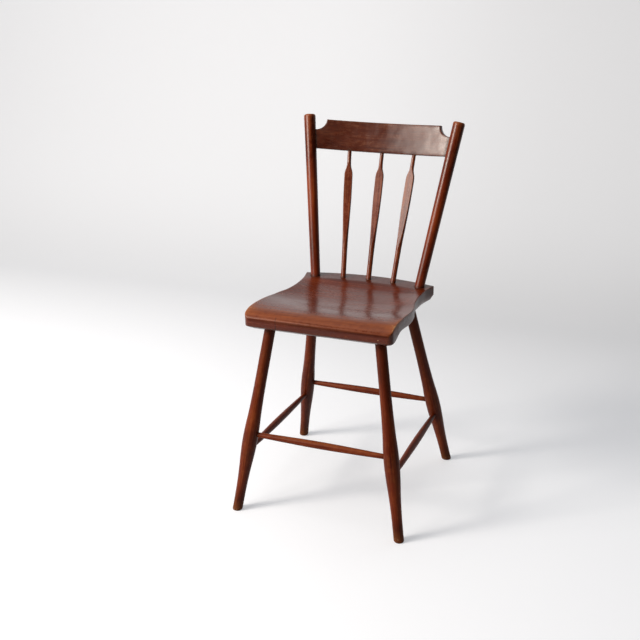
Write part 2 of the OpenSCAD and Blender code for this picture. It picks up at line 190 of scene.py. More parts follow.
# %% The room: pale on the window's side and behind the sweep, dim elsewhere
ROOM_DIM, ROOM_SIDE, ROOM_BACK = 0.05, 0.28, 0.5
ROOM_TINT = "f6f6f8"
SIDE_ENDS, BACK_STARTS = (-0.95, 0.1), (0.05, 0.7)      # as parts of a unit direction
world = bpy.data.worlds.new("soft_room")
world.use_nodes = True
room = world.node_tree
room.nodes.clear()
towards = add(room, "ShaderNodeSeparateXYZ",
              {"Vector": add(room, "ShaderNodeTexCoord").outputs["Generated"]})
side = add(room, "ShaderNodeMapRange",
           {"Value": towards.outputs["X"], "From Min": SIDE_ENDS[0], "From Max": SIDE_ENDS[1],
            "To Min": ROOM_SIDE, "To Max": 0.0}, interpolation_type="SMOOTHSTEP")
back = add(room, "ShaderNodeMapRange",
           {"Value": towards.outputs["Y"], "From Min": BACK_STARTS[0], "From Max": BACK_STARTS[1],
            "To Min": 0.0, "To Max": ROOM_BACK}, interpolation_type="SMOOTHSTEP")
level = add(room, "ShaderNodeMath", {0: side, 1: back}, operation="ADD")
level = add(room, "ShaderNodeMath", {0: level, 1: ROOM_DIM}, operation="ADD")
sky = add(room, "ShaderNodeBackground", {"Color": linear(ROOM_TINT), "Strength": level})
add(room, "ShaderNodeOutputWorld", {"Surface": sky})
bpy.context.scene.world = world
print("room light", ROOM_DIM, "to", ROOM_BACK)

# %% [markdown]
# ## Stained, varnished and worn hardwood
# The whole chair has one kind of finish: a red-brown stain that sinks unevenly into the grain,
# under a thin old varnish. What the eye reads is long darker and lighter streaks that follow
# each piece, blotches a few fingers wide, a half gloss that is duller where it is worn, and
# warm lighter wood where hands, clothes and shoes have rubbed the stain away.
#
# One flat pattern over the whole chair would run across a slanted leg. So each piece carries
# three attributes of its own. `grain` is its own coordinate, with z along the grain. `wear`
# says where it is rubbed, and the third where dirt stays and where shade is painted. The layers
# below are built in the order in which they came onto the real chair, and each one reads the
# same four noises.

# %% The patterns in the wood
STREAK_MM = 2.4        # width of one grain streak
PORE_MM = 0.6          # real pores are finer than 0.2 mm, too fine to show, so these are coarser
BLOTCH_MM = 55.0       # size of the uneven patches of stain
SPOT_MM = 11.0         # size of the spots that wear and dirt leave
CELL_STREAKS = 4       # a noise cell holds about this many streaks side by side
GRAIN_STRETCH = 0.035  # a streak is about 30 times longer than it is wide
BLOTCH_STRETCH = 0.45  # blotches run along the grain too, but only a little


def wood_patterns(tree, grain):
    """Streaks, pores, blotches and spots. A noise's scale counts its cells in a metre."""
    along = add(tree, "ShaderNodeMapping", {"Vector": grain, "Scale": (1.0, 1.0, GRAIN_STRETCH)})
    streaks = add(tree, "ShaderNodeTexNoise",
                  {"Vector": along, "Scale": 1000 / STREAK_MM / CELL_STREAKS, "Detail": 5.0,
                   "Roughness": 0.6, "Distortion": 0.3})
    pores = add(tree, "ShaderNodeTexNoise",
                {"Vector": along, "Scale": 1000 / PORE_MM / CELL_STREAKS, "Detail": 3.0,
                 "Roughness": 0.5})
    wide = add(tree, "ShaderNodeMapping", {"Vector": grain, "Scale": (1.0, 1.0, BLOTCH_STRETCH)})
    blotches = add(tree, "ShaderNodeTexNoise", {"Vector": wide, "Scale": 1000 / BLOTCH_MM,
                                                "Detail": 4.0, "Roughness": 0.6})
    spots = add(tree, "ShaderNodeTexNoise", {"Vector": grain, "Scale": 1000 / SPOT_MM,
                                             "Detail": 4.0, "Roughness": 0.7})
    return streaks, pores, blotches, spots


# %% [markdown]
# ### Stain
# Stain sinks deep where wood is open and stays pale where it is dense. Streaks and blotches
# together give that depth, and a Color Ramp of three colours turns the depth into a colour.
# The pores drink a little more, so they are a shade darker.

# %% The stain
STREAK_PART, BLOTCH_PART = 0.4, 0.6    # what each adds to the depth of the stain
STAIN_PLACES = (0.36, 0.5, 0.66)       # where the three stain colours sit in that depth
PORE_ENDS, PORE_SHADE = (0.36, 0.5), 0.84


def stain_layer(tree, streaks, pores, blotches, stops):
    """The colour of the stained wood before anything rubs it."""
    depth = add(tree, "ShaderNodeMath", {0: streaks, 1: STREAK_PART}, operation="MULTIPLY")
    depth = add(tree, "ShaderNodeMath", {0: blotches, 1: BLOTCH_PART, 2: depth},
                operation="MULTIPLY_ADD")
    ramp = add(tree, "ShaderNodeValToRGB", {"Fac": depth})
    ramp.color_ramp.elements.new(STAIN_PLACES[1])
    for element, place, colour in zip(ramp.color_ramp.elements, STAIN_PLACES, stops):
        element.position = place
        element.color = linear(colour)
    shade = add(tree, "ShaderNodeMapRange", {"Value": pores, "From Min": PORE_ENDS[0],
                                             "From Max": PORE_ENDS[1], "To Min": PORE_SHADE})
    return add(tree, "ShaderNodeVectorMath", {0: ramp.outputs["Color"], "Scale": shade},
               operation="SCALE")


# %% [markdown]
# ### Rubbing
# Rubbing first thins the stain and then goes through it. A smooth border between the two
# would look like a mask, so the amount of rubbing is broken up along the grain and in spots
# before it mixes the colours. Small chips go down to the wood where the rubbing is worst.

# %% The rubbed places
RAG_STREAK, RAG_SPOT, RAG_PORE = 0.55, 0.7, 0.6   # how far each breaks up a border
THINNED_WEAR = (0.05, 0.7)     # over this range of rubbing the stain gets thin
BARE_WEAR = (0.75, 1.1)        # and over this one the wood is bare
CHIP_MM = 2.0                  # size of the smallest chips
CHIPPED_WEAR = (0.45, 0.7)     # they need this much rubbing
CHIP_ENDS = (0.6, 0.66)        # close together, so that a chip's border is crisp


def rubbed_layer(tree, colour, grain, streaks, pores, spots, worn, bare):
    """The colour with thin and bare places, and how thin the stain is, 0 to 1."""
    rubbed = add(tree, "ShaderNodeAttribute", attribute_name="wear").outputs["Fac"]
    ragged = rubbed
    for pattern, share in ((streaks, RAG_STREAK), (spots, RAG_SPOT), (pores, RAG_PORE)):
        swing = add(tree, "ShaderNodeMath", {0: pattern, 1: 0.5}, operation="SUBTRACT")
        ragged = add(tree, "ShaderNodeMath", {0: swing, 1: share, 2: ragged},
                     operation="MULTIPLY_ADD")
    thinned = add(tree, "ShaderNodeMapRange", {"Value": ragged, "From Min": THINNED_WEAR[0],
                                               "From Max": THINNED_WEAR[1]})
    through = add(tree, "ShaderNodeMapRange", {"Value": ragged, "From Min": BARE_WEAR[0],
                                               "From Max": BARE_WEAR[1]})
    chips = add(tree, "ShaderNodeTexNoise", {"Vector": grain, "Scale": 1000 / CHIP_MM / 2,
                                             "Detail": 2.0, "Roughness": 0.6})
    chips = add(tree, "ShaderNodeMapRange", {"Value": chips, "From Min": CHIP_ENDS[0],
                                             "From Max": CHIP_ENDS[1]})
    worst = add(tree, "ShaderNodeMapRange", {"Value": rubbed, "From Min": CHIPPED_WEAR[0],
                                             "From Max": CHIPPED_WEAR[1]})
    chips = add(tree, "ShaderNodeMath", {0: chips, 1: worst}, operation="MULTIPLY")
    through = add(tree, "ShaderNodeMath", {0: through, 1: chips}, operation="MAXIMUM")
    colour = add(tree, "ShaderNodeMix", {"Factor_Float": thinned, "A_Color": colour,
                                         "B_Color": linear(worn)}, data_type="RGBA")
    colour = add(tree, "ShaderNodeMix", {"Factor_Float": through, "A_Color": colour,
                                         "B_Color": linear(bare)}, data_type="RGBA")
    return colour, thinned


# %% [markdown]
# ### Dirt and painted shade
# Dirt stays where a cloth doesn't reach: in corners, round the joints and near the floor. The same
# layer paints shade under the plank, in the seat's crease, on its lip and sides, and at one end of
# the crest. Neither lies evenly, so both take the same spots as the rubbing does.

# %% The dirt and painted shade
# the colour of dirt, and of the painted shade that the same layer gives
DIRT_AND_SHADE_COLOUR = "120603"
SPOT_GAIN = 1.6                # how quickly dirt and painted shade fill their spots


def dirt_and_shade_layer(tree, colour, spots):
    """The colour under dirt and painted shade, and how much of both there is, 0 to 1."""
    dirt_and_shade_amount = add(tree, "ShaderNodeAttribute", attribute_name="dirt_and_shade").outputs["Fac"]
    darkened = add(tree, "ShaderNodeMath", {0: spots, 1: SPOT_GAIN}, operation="MULTIPLY")
    darkened = add(tree, "ShaderNodeMath", {0: darkened, 1: dirt_and_shade_amount}, operation="MULTIPLY", use_clamp=True)
    colour = add(tree, "ShaderNodeMix", {"Factor_Float": darkened, "A_Color": colour,
                                         "B_Color": linear(DIRT_AND_SHADE_COLOUR)}, data_type="RGBA")
    return colour, darkened


# %% [markdown]
# ### Varnish
# Old varnish is never evenly glossy. It shines most where it lies thick, and wear and dirt
# dull it, so its roughness follows the blotches, the thin places and the dirt, and also the
# places of painted shade, which share the dirt's amount. It is not flat either. A hand plane
# left wide shallow hollows, which bend every reflection a little, and the grain stands up
# through the film, which breaks the reflections up. Both are far too shallow for the mesh, so
# two Bump nodes give them.

# %% The varnish
BLOTCH_ENDS = (0.3, 0.7)               # blotch values that give the least and most roughness
WEAR_DULLS, DIRT_AND_SHADE_DULLS = 0.16, 0.25    # what thin varnish, and dirt with painted shade, add to the roughness
WAVE_MM = 45.0                         # size of the hollows
RELIEF_M, RELIEF_SHARE, PORE_SHARE = 0.0006, 0.12, 0.35


def varnish_gloss(tree, blotches, thinned, darkened, gloss):
    """Roughness of the varnish."""
    rough = add(tree, "ShaderNodeMapRange", {"Value": blotches, "From Min": BLOTCH_ENDS[0],
                                             "From Max": BLOTCH_ENDS[1], "To Min": gloss[0],
                                             "To Max": gloss[1]})
    rough = add(tree, "ShaderNodeMath", {0: thinned, 1: WEAR_DULLS, 2: rough},
                operation="MULTIPLY_ADD")
    return add(tree, "ShaderNodeMath", {0: darkened, 1: DIRT_AND_SHADE_DULLS, 2: rough},
               operation="MULTIPLY_ADD", use_clamp=True)


def varnish_relief(tree, grain, streaks, pores, hollows):
    """The varnish's normal. hollows is the depth of the hollows in metres."""
    waves = add(tree, "ShaderNodeTexNoise", {"Vector": grain, "Scale": 1000 / WAVE_MM,
                                             "Detail": 1.5, "Roughness": 0.45})
    hollow = add(tree, "ShaderNodeBump", {"Height": waves, "Strength": 1.0, "Distance": hollows})
    relief = add(tree, "ShaderNodeMath", {0: pores, 1: PORE_SHARE, 2: streaks},
                 operation="MULTIPLY_ADD")
    return add(tree, "ShaderNodeBump", {"Height": relief, "Strength": RELIEF_SHARE,
                                        "Distance": RELIEF_M, "Normal": hollow})


# %% All the layers in one material
VARNISH_IOR = 1.45


def stained_wood(name, stops, worn, bare, gloss, shine, hollows, details=None):
    """A wood material. stops are the stain's colours from deep to pale, worn and bare those of
    thin and rubbed-through places. gloss is the roughness from best to worst, and shine how
    much of a fresh varnish's reflection is left, where 0.5 is all of it."""
    material = bpy.data.materials.new(name)
    material.use_nodes = True
    tree = material.node_tree
    tree.nodes.clear()
    grain = add(tree, "ShaderNodeAttribute", attribute_name="grain").outputs["Vector"]
    streaks, pores, blotches, spots = wood_patterns(tree, grain)
    colour = stain_layer(tree, streaks, pores, blotches, stops)
    colour, thinned = rubbed_layer(tree, colour, grain, streaks, pores, spots, worn, bare)
    colour, darkened = dirt_and_shade_layer(tree, colour, spots)
    if details:
        colour = details(tree, colour)
    shader = add(tree, "ShaderNodeBsdfPrincipled",
                 {"Base Color": colour, "IOR": VARNISH_IOR, "Specular IOR Level": shine,
                  "Roughness": varnish_gloss(tree, blotches, thinned, darkened, gloss),
                  "Normal": varnish_relief(tree, grain, streaks, pores, hollows)})
    add(tree, "ShaderNodeOutputMaterial", {"Surface": shader})
    print(name, len(tree.nodes), "nodes")
    return material


# %% [markdown]
# ### Two marks on the plank's front
# A thin dark line shows where two boards are glued to make the plank, and one old knock has
# left a pale chip. Each has one place on this chair, so both are placed by Object coordinates,
# which the finished pieces share because they all sit at the origin.

# %% The glue line and the chip
SEAM_X = -0.094
SEAM_EDGE, SEAM_DEPTH, GLUE_DARK = (0.0003, 0.0011), 0.75, "160703"
SEAM_FADES = (-0.226, -0.222)      # the line ends where the roll begins
CHIP = (0.1385, -0.2302, 0.4677)
CHIP_EDGE, CHIP_PALE = (0.0034, 0.0040), "c9a27a"
CHIP_RAG, CHIP_RAG_MM = 0.004, 2.5     # how far its border wanders, and over what size


def lip_details(tree, colour):
    """The colour with the dark glue line and the pale chip."""
    place = add(tree, "ShaderNodeTexCoord").outputs["Object"]
    parts = add(tree, "ShaderNodeSeparateXYZ", {"Vector": place})
    away = add(tree, "ShaderNodeMath", {0: parts.outputs["X"], 1: SEAM_X}, operation="SUBTRACT")
    away = add(tree, "ShaderNodeMath", {0: away}, operation="ABSOLUTE")
    line = add(tree, "ShaderNodeMapRange", {"Value": away, "From Min": SEAM_EDGE[0],
                                            "From Max": SEAM_EDGE[1], "To Min": SEAM_DEPTH,
                                            "To Max": 0.0})
    front = add(tree, "ShaderNodeMapRange", {"Value": parts.outputs["Y"],
                                             "From Min": SEAM_FADES[0], "From Max": SEAM_FADES[1],
                                             "To Min": 1.0, "To Max": 0.0})
    line = add(tree, "ShaderNodeMath", {0: line, 1: front}, operation="MULTIPLY")
    colour = add(tree, "ShaderNodeMix", {"Factor_Float": line, "A_Color": colour,
                                         "B_Color": linear(GLUE_DARK)}, data_type="RGBA")
    reach = add(tree, "ShaderNodeVectorMath", {0: place, 1: CHIP}, operation="DISTANCE")
    ragged = add(tree, "ShaderNodeTexNoise", {"Vector": place, "Scale": 1000 / CHIP_RAG_MM,
                                              "Detail": 2.0})
    reach = add(tree, "ShaderNodeMath", {0: ragged, 1: CHIP_RAG, 2: reach.outputs["Value"]},
                operation="MULTIPLY_ADD")
    chip = add(tree, "ShaderNodeMapRange", {"Value": reach, "From Min": CHIP_EDGE[0],
                                            "From Max": CHIP_EDGE[1], "To Min": 1.0,
                                            "To Max": 0.0})
    return add(tree, "ShaderNodeMix", {"Factor_Float": chip, "A_Color": colour,
                                       "B_Color": linear(CHIP_PALE)}, data_type="RGBA")


# %% The five finishes
# Posts came smooth off the lathe. Hands keep them polished: a clear line of light, warm red.
post_wood = stained_wood("stained_turned_hardwood", ("421405", "66230b", "84360f"),
                         worn="8e4d26", bare="ad7840", gloss=(0.24, 0.35), shine=0.33,
                         hollows=0.0003)
# Spindles were shaved with a knife after turning. The flats are a little wavy and stay glossy.
spindle_wood = stained_wood("stained_shaved_hardwood", ("491707", "61230d", "753114"),
                            worn="8e4d26", bare="ad7840", gloss=(0.2, 0.3), shine=0.46,
                            hollows=0.0005)
# Legs and rungs are kicked and scuffed. The varnish has gone dull, and bare wood is paler.
leg_wood = stained_wood("scuffed_turned_hardwood", ("471606", "60220b", "753213"),
                        worn="8e4f29", bare="c09a70", gloss=(0.34, 0.48), shine=0.14,
                        hollows=0.0003)
# The plank was planed along the grain and is polished by sitting: an even, brown half gloss.
plank_wood = stained_wood("stained_seat_plank", ("4f1b09", "5c210b", "68290f"),
                          worn="864722", bare="a87a4e", gloss=(0.2, 0.29), shine=0.3,
                          hollows=0.00025, details=lip_details)
# The crest was steamed and bent. It keeps the thickest varnish, whose hollows catch the room.
board_wood = stained_wood("stained_crest_board", ("421709", "4d1d0b", "59250f"),
                          worn="78421f", bare="a87a52", gloss=(0.19, 0.27), shine=0.42,
                          hollows=0.0014)

# %% [markdown]
# ## The chair's own sizes
# These repeat the solids' sizes, in metres, so that each visible piece lies in its solid. x
# goes to the right, y to the back and z up, and the chair stands in the middle of its floor.
# Every slanted piece is described by its axis, because legs, posts and spindles all lean two
# ways at once, and an axis from one point to another says both.

# %% Sizes
SEAT_H, SEAT_W, SEAT_D, SEAT_T = 0.483, 0.340, 0.361, 0.033
FRONT_Y = -0.2302
CORNER_Y = FRONT_Y + SEAT_D
BOTTOM_Z = SEAT_H - SEAT_T
REAR_BOW, DECK_D, DISH, ROLL_RISE = 0.0276, 0.042, 0.010, 0.013
HALF_W = SEAT_W / 2
BACK_H, BACK_LEAN, POST_SPLAY = 0.377, math.radians(15.29), math.radians(8.27)
POST_IN, POST_AHEAD, REAR_HALF_SHARE = 0.0312, 0.0188, 0.962
CREST_H, CREST_T, CREST_BOW, CREST_DOWN = 0.0715, 0.013, 0.0238, 0.0093
SPINDLE_APART, SPINDLE_FAN, SPINDLE_BACK, SPINDLE_BOW = 0.0636, 0.0177, 0.0151, 0.0042
LEG_TOP_Z = BOTTOM_Z - 0.005
# how far in from the plank's side, y, and the slants outwards and backwards
FRONT_LEG = (0.0417, FRONT_Y + 0.0533, math.radians(8.83), math.radians(-6.84))
REAR_LEG = (0.0501, CORNER_Y - 0.0598, math.radians(10.07), math.radians(15.46))
LEFT, RIGHT = -1, 1
print("deck", SEAT_H, "m above the floor, plank", SEAT_W, "x", SEAT_D, "m")

# %% The back, measured in its own leaning plane
# A post starts this far from the middle, and the crest runs from z0 to z1 up the plane. The
# crest's bow and the chord between the posts give the radius to which it was bent.
POST_X = HALF_W * REAR_HALF_SHARE - POST_IN
POST_Y = CORNER_Y - POST_AHEAD
POST_LEN = BACK_H / math.cos(BACK_LEAN)
CREST_Z1 = POST_LEN - CREST_DOWN
CREST_Z0 = CREST_Z1 - CREST_H
CREST_CHORD = POST_X + (BACK_H - CREST_H / 2) * math.tan(POST_SPLAY)
CREST_R = (CREST_CHORD ** 2 + CREST_BOW ** 2) / (2 * CREST_BOW)
POST_SLOPE = math.tan(POST_SPLAY) * math.cos(BACK_LEAN)
print("crest radius", round(CREST_R, 3), "post length", round(POST_LEN, 4))


# %% Axes of the legs, posts and spindles
def leg_axis(side, rear, z):
    """The point of a leg's axis at height z."""
    inward, y, splay, rake = REAR_LEG if rear else FRONT_LEG
    drop = LEG_TOP_Z - z
    return Vector((side * (HALF_W - inward + drop * math.tan(splay)), y + drop * math.tan(rake), z))


def post_axis(side, rise):
    """The point of a post's axis this far above the deck."""
    return Vector((side * (POST_X + rise * math.tan(POST_SPLAY)),
                   POST_Y + rise * math.tan(BACK_LEAN), SEAT_H + rise))


def from_back(x, y, z):
    """The place of a point in the leaning plane of the back: y out of it, z up it."""
    return Vector((x, POST_Y + y * math.cos(BACK_LEAN) + z * math.sin(BACK_LEAN),
                   SEAT_H + z * math.cos(BACK_LEAN) - y * math.sin(BACK_LEAN)))


def crest_y(x):
    """How far the bow puts the crest's middle surface behind the posts, at x."""
    return CREST_BOW - CREST_R + math.sqrt(CREST_R ** 2 - x * x)


def spindle_ends(k):
    """Foot on the deck and head at the crest of spindle -1, 0 or 1."""
    foot = Vector((k * SPINDLE_APART, POST_Y + SPINDLE_BACK - SPINDLE_BOW * abs(k), SEAT_H))
    x = k * (SPINDLE_APART + SPINDLE_FAN)
    return foot, from_back(x, crest_y(x), CREST_Z0)


# %% [markdown]
# ## Turned pieces
# Legs, stretchers and posts come off a lathe, so each is one outline spun round its axis. A
# Spin or a Screw modifier could do it from a drawn profile. A cylinder from Geometry Nodes,
# whose rings are scaled by a Float Curve of the height, does the same with an outline that
# is only a few keys long. The curve is the turner's pattern stick. The same tree, with a
# second curve that limits how thick the piece is front to back, makes the flattened spindles.

# %% The pattern stick
def pattern_stick(node, keys):
    """Shapes a Float Curve node to (share of length, value) keys."""
    points = node.mapping.curves[0].points
    points[0].location, points[-1].location = keys[0], keys[-1]
    for key in keys[1:-1]:
        points.new(*key)
    for point in points:
        point.handle_type = "AUTO_CLAMPED"
    node.mapping.update()


# %% The lathe, a Geometry Nodes tree
TREE_INPUTS = (("Length", "NodeSocketFloat", 0.4), ("Radius", "NodeSocketFloat", 0.015),
               ("Rings", "NodeSocketInt", 96), ("Sides", "NodeSocketInt", 64),
               ("Start", "NodeSocketVector", (0, 0, 0)), ("Turn", "NodeSocketVector", (0, 0, 0)),
               ("Grain Shift", "NodeSocketVector", (0, 0, 0)),
               ("Finish", "NodeSocketMaterial", None))


def turning_tree(name, outline, flat=None):
    """outline: share of the radius along the length. flat: the same for half the thickness."""
    tree = bpy.data.node_groups.new(name, "GeometryNodeTree")
    for label, kind, value in TREE_INPUTS:
        socket = tree.interface.new_socket(label, in_out="INPUT", socket_type=kind)
        if value is not None:
            socket.default_value = value
    tree.interface.new_socket("Geometry", in_out="OUTPUT", socket_type="NodeSocketGeometry")
    given = add(tree, "NodeGroupInput")

    # the blank is a cylinder of radius 1, and share is how far up it a ring is, 0 to 1
    blank = add(tree, "GeometryNodeMeshCylinder",
                {"Vertices": given.outputs["Sides"], "Side Segments": given.outputs["Rings"],
                 "Radius": 1.0, "Depth": given.outputs["Length"]}, fill_type="TRIANGLE_FAN")
    place = add(tree, "GeometryNodeInputPosition")
    parts = add(tree, "ShaderNodeSeparateXYZ", {"Vector": place})
    share = add(tree, "ShaderNodeMath", {0: parts.outputs["Z"], 1: given.outputs["Length"]},
                operation="DIVIDE")
    share = add(tree, "ShaderNodeMath", {0: share, 1: 0.5}, operation="ADD")

    # each ring is scaled by the pattern stick, and y is held between two flats if there are any
    stick = add(tree, "ShaderNodeFloatCurve", {"Value": share})
    pattern_stick(stick, outline)
    reach = add(tree, "ShaderNodeMath", {0: stick, 1: given.outputs["Radius"]},
                operation="MULTIPLY")
    x = add(tree, "ShaderNodeMath", {0: parts.outputs["X"], 1: reach}, operation="MULTIPLY")
    y = add(tree, "ShaderNodeMath", {0: parts.outputs["Y"], 1: reach}, operation="MULTIPLY")
    if flat:
        limit = add(tree, "ShaderNodeFloatCurve", {"Value": share})
        pattern_stick(limit, flat)
        limit = add(tree, "ShaderNodeMath", {0: limit, 1: given.outputs["Radius"]},
                    operation="MULTIPLY")
        under = add(tree, "ShaderNodeMath", {0: limit, 1: -1.0}, operation="MULTIPLY")
        y = add(tree, "ShaderNodeMath", {0: y, 1: limit}, operation="MINIMUM")
        y = add(tree, "ShaderNodeMath", {0: y, 1: under}, operation="MAXIMUM")
    z = add(tree, "ShaderNodeMath", {0: share, 1: given.outputs["Length"]}, operation="MULTIPLY")
    turned = add(tree, "ShaderNodeCombineXYZ", {"X": x, "Y": y, "Z": z})
    shaped = add(tree, "GeometryNodeSetPosition",
                 {"Geometry": blank.outputs["Mesh"], "Position": turned})

    # the grain is marked while the piece still stands on the origin, then it goes to its place
    own = add(tree, "GeometryNodeInputPosition")
    shifted = add(tree, "ShaderNodeVectorMath", {0: own, 1: given.outputs["Grain Shift"]},
                  operation="ADD")
    marked = add(tree, "GeometryNodeStoreNamedAttribute",
                 {"Geometry": shaped, "Name": "grain", "Value": shifted},
                 data_type="FLOAT_VECTOR", domain="POINT")
    turn = add(tree, "FunctionNodeEulerToRotation", {"Euler": given.outputs["Turn"]})
    stood = add(tree, "GeometryNodeTransform",
                {"Geometry": marked, "Translation": given.outputs["Start"], "Rotation": turn})
    smooth = add(tree, "GeometryNodeSetShadeSmooth", {"Geometry": stood})
    real = add(tree, "GeometryNodeRealizeInstances", {"Geometry": smooth})
    finished = add(tree, "GeometryNodeSetMaterial",
                   {"Geometry": real, "Material": given.outputs["Finish"]})
    add(tree, "NodeGroupOutput", {"Geometry": finished})
    print(name, len(tree.nodes), "nodes")
    return tree


# %% [markdown]
# A tree works on an object through a modifier. The object here is only a holder: it lends its
# modifier, the evaluated result is copied into a plain mesh, and the holder is thrown away.
# The grain shift gives every piece its own part of the noise, so no two look alike.

# %% Turn one piece
def upright_turn(start, end):
    """Euler turn that stands +Z on the line start to end and keeps +Y backwards."""
    d = (end - start).normalized()
    out = math.asin(d.x)
    back = math.atan2(d.y, d.z)
    return (Matrix.Rotation(-back, 3, "X") @ Matrix.Rotation(out, 3, "Y")).to_euler()


def turn_piece(tree, start, end, yaw=0.0, **values):
    """A plain mesh of the turned piece from start to end."""
    holder = bpy.data.objects.new("turning", bpy.data.meshes.new("turning"))
    bpy.context.scene.collection.objects.link(holder)
    modifier = holder.modifiers.new("turning", "NODES")
    modifier.node_group = tree
    rotation = upright_turn(start, end).to_matrix() @ Matrix.Rotation(yaw, 3, "Z")
    values.update(Length=(end - start).length, Start=tuple(start), Turn=tuple(rotation.to_euler()))
    for item in tree.interface.items_tree:
        if item.in_out == "INPUT" and item.name.replace(" ", "_") in values:
            modifier[item.identifier] = values[item.name.replace(" ", "_")]
    evaluated = holder.evaluated_get(bpy.context.evaluated_depsgraph_get())
    mesh = bpy.data.meshes.new_from_object(evaluated)
    bpy.data.objects.remove(holder)
    return mesh


# %% [markdown]
# ## Sawing, rounding and wearing
# After the lathe comes hand work: a saw cuts the foot level, and sandpaper takes the sharpness
# off every edge. Real edges are never knife sharp, and the small bright line that runs along
# a rounded one is much of what makes wood look solid.
#
# Wear follows the shape as well. A corner that stands proud of its neighbours is rubbed first,
# so its wear is measured from the mesh, and each piece adds its own rubbed and dirty places,
# and the legs, the crest and the plank their places of painted shade.

# %% Cutting and rounding a mesh
@contextmanager
def opened(mesh):
    """The mesh opened for editing, and written back afterwards."""
    bm = bmesh.new()
    bm.from_mesh(mesh)
    yield bm
    bm.to_mesh(mesh)
    bm.free()


def cut_flat(mesh, point, normal):
    """Removes what lies on the normal's side of a plane and closes the cut with one face."""
    with opened(mesh) as bm:
        cut = bmesh.ops.bisect_plane(bm, geom=bm.verts[:] + bm.edges[:] + bm.faces[:], dist=1e-6,
                                     plane_co=point, plane_no=normal, clear_outer=True)
        rim = [e for e in cut["geom_cut"] if isinstance(e, bmesh.types.BMEdge)]
        bmesh.ops.holes_fill(bm, edges=rim, sides=0)
        bmesh.ops.recalc_face_normals(bm, faces=bm.faces[:])


def close_skin(mesh, sharper_than=35.0):
    """Merges doubles, turns the faces outwards and shades all but the sharp edges smooth."""
    with opened(mesh) as bm:
        bmesh.ops.remove_doubles(bm, verts=bm.verts[:], dist=1e-6)
        bmesh.ops.recalc_face_normals(bm, faces=bm.faces[:])
    mesh.shade_smooth()
    mesh.set_sharp_from_angle(angle=math.radians(sharper_than))
    return mesh


def round_edges(mesh, width, steps, sharper_than=35.0, where=None):
    """Rounds each edge that turns by more than an angle, as hands and sandpaper do."""
    limit = math.radians(sharper_than)
    with opened(mesh) as bm:
        edges = [e for e in bm.edges if len(e.link_faces) == 2 and e.calc_face_angle(0) > limit
                 and (where is None or where((e.verts[0].co + e.verts[1].co) / 2))]
        bmesh.ops.bevel(bm, geom=edges, offset=width, offset_type="OFFSET", segments=steps,
                        profile=0.5, affect="EDGES", clamp_overlap=True)
    return close_skin(mesh, sharper_than)


def quarter_steps(radius, count):
    """Distances from an edge, close together where a quarter round turns fastest."""
    return [radius * (1 - math.cos(math.pi / 2 * k / count)) for k in range(count + 1)]


def quarter_inset(radius, distance):
    """How far a quarter round has drawn the surface in, this far from the edge."""
    left = radius - min(max(distance, 0.0), radius)
    return radius - math.sqrt(radius ** 2 - left ** 2)


# %% Wear, dirt and painted shade, and grain on a mesh
PROUD_GAIN = 2.2                    # an edge this proud counts as fully worn


def read_rows(items, what, width, kind=float):
    """One row of numbers for each item of a mesh, such as the "co" of its corners."""
    values = np.empty(len(items) * width, kind)
    items.foreach_get(what, values)
    return values.reshape(-1, width)


def proud_corners(mesh, place, normal):
    """How far each corner stands proud of its neighbours, 0 to 1."""
    ends = read_rows(mesh.edges, "vertices", 2, int)
    neighbours, slopes = np.zeros(len(place)), np.zeros(len(place))
    for a, b in ((0, 1), (1, 0)):
        reach = place[ends[:, b]] - place[ends[:, a]]
        length = np.linalg.norm(reach, axis=1) + 1e-9
        np.add.at(slopes, ends[:, a], -(reach * normal[ends[:, a]]).sum(1) / length)
        np.add.at(neighbours, ends[:, a], 1.0)
    return np.clip(slopes / np.maximum(neighbours, 1) * PROUD_GAIN, 0, 1)


def mark(mesh, name, values):
    """Stores one number for each corner, for the material to read."""
    layer = mesh.attributes.new(name, "FLOAT", "POINT")
    layer.data.foreach_set("value", np.asarray(values, dtype=np.float32))


def store_grain(mesh, along_axis, shift):
    """Stores grain as the corner's own place with the piece's long axis last."""
    order = [a for a in (0, 1, 2) if a != along_axis] + [along_axis]
    rows = read_rows(mesh.vertices, "co", 3)[:, order] + np.array(shift)
    layer = mesh.attributes.new("grain", "FLOAT_VECTOR", "POINT")
    layer.data.foreach_set("vector", rows.astype(np.float32).ravel())


# %% Saying where a piece is rubbed, where it is dirty and where shade is painted
# In every rule below amounts go from 0, none, to 1, all, and places are in metres.
def step(low, high, value):
    """0 below low, 1 above high, smooth between."""
    t = np.clip((value - low) / (high - low), 0, 1)
    return t * t * (3 - 2 * t)


def near_line(place, start, end):
    """Distance of each point from the line through start and end."""
    a = np.array(start)
    d = np.array((end - start).normalized())
    rel = place - a
    return np.linalg.norm(rel - np.outer(rel @ d, d), axis=1)


# %% Finish one piece
def finish_piece(mesh, node, material, rubbed, dirt_and_shade_rule, edge_gain):
    """Marks wear, and dirt with painted shade, links the piece and ties it to its solid."""
    place = read_rows(mesh.vertices, "co", 3)
    normal = read_rows(mesh.vertices, "normal", 3)
    proud = proud_corners(mesh, place, normal)
    mark(mesh, "wear", np.clip(edge_gain * proud + rubbed(place, normal), 0, 1.2))
    mark(mesh, "dirt_and_shade", np.clip(dirt_and_shade_rule(place, normal), 0, 1))
    mesh.materials.clear()
    mesh.materials.append(material)
    piece = bpy.data.objects.new(node + "_finished", mesh)
    bpy.context.scene.collection.objects.link(piece)
    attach(piece, "root")
    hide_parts(node)
    print(node, len(mesh.vertices), "vertices")
    return piece


